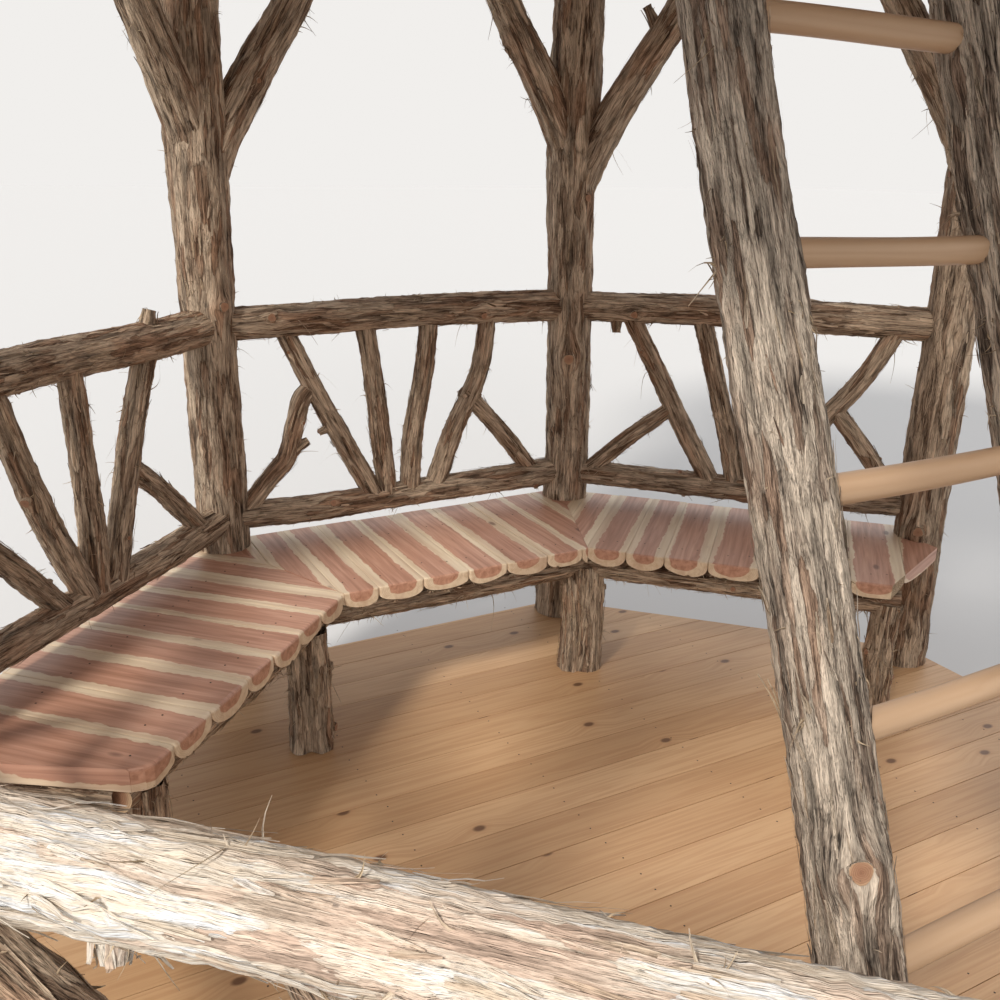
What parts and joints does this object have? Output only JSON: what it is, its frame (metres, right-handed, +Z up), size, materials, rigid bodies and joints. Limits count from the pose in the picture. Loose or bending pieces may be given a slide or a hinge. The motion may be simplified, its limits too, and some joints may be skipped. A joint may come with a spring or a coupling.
{
  "type": "two-story log gazebo",
  "caption": "Octagonal two-story gazebo of rough cedar logs with twig railings, half-log benches, an inner ladder and a boarded roof.",
  "frame": {"origin": "centre of the octagonal deck, on the ground", "axes": "+Z up, entrance bay facing -Y, +X towards the middle bench bay"},
  "size_m": [3.4778, 3.4778, 5.6988],
  "materials": {
    "bark_log": "rough bark, sealed",
    "twig_log": "rough bark, sealed",
    "heart_slab": "planed and sealed, red heart with cream edges",
    "cedar_board": "planed boards, clear sealed",
    "peeled_rung": "peeled and smoothed",
    "roof_cedar": "weathered cedar"
  },
  "bodies": {
    "root": {"bench_back_logs": "bark_log", "bench_front_logs": "bark_log", "bench_legs": "bark_log", "bench_seat_back_right": "heart_slab", "bench_seat_front_right": "heart_slab", "bench_seat_right": "heart_slab", "common_rafters": "bark_log", "deck_boards": "cedar_board", "deck_joists": "cedar_board", "deck_rim": "cedar_board", "ground_railing_back": "twig_log", "ground_railing_back_left": "twig_log", "ground_railing_back_right": "twig_log", "ground_railing_front_left": "twig_log", "ground_railing_front_right": "twig_log", "ground_railing_left": "twig_log", "ground_railing_right": "twig_log", "hip_rafters": "bark_log", "ladder_rungs": "peeled_rung", "ladder_stile_back": "bark_log", "ladder_stile_front": "bark_log", "post_back_left": "bark_log", "post_back_right": "bark_log", "post_front_left": "bark_log", "post_front_right": "bark_log", "post_left_back": "bark_log", "post_left_front": "bark_log", "post_right_back": "bark_log", "post_right_front": "bark_log", "ring_logs": "bark_log", "roof_boards": "roof_cedar", "roof_hub": "bark_log", "roof_plate": "bark_log", "upper_floor": "cedar_board", "upper_joists": "bark_log", "upper_railing_back": "twig_log", "upper_railing_back_left": "twig_log", "upper_railing_back_right": "twig_log", "upper_railing_front": "twig_log", "upper_railing_front_left": "twig_log", "upper_railing_front_right": "twig_log", "upper_railing_left": "twig_log", "upper_railing_right": "twig_log"}
  },
  "joints": []
}
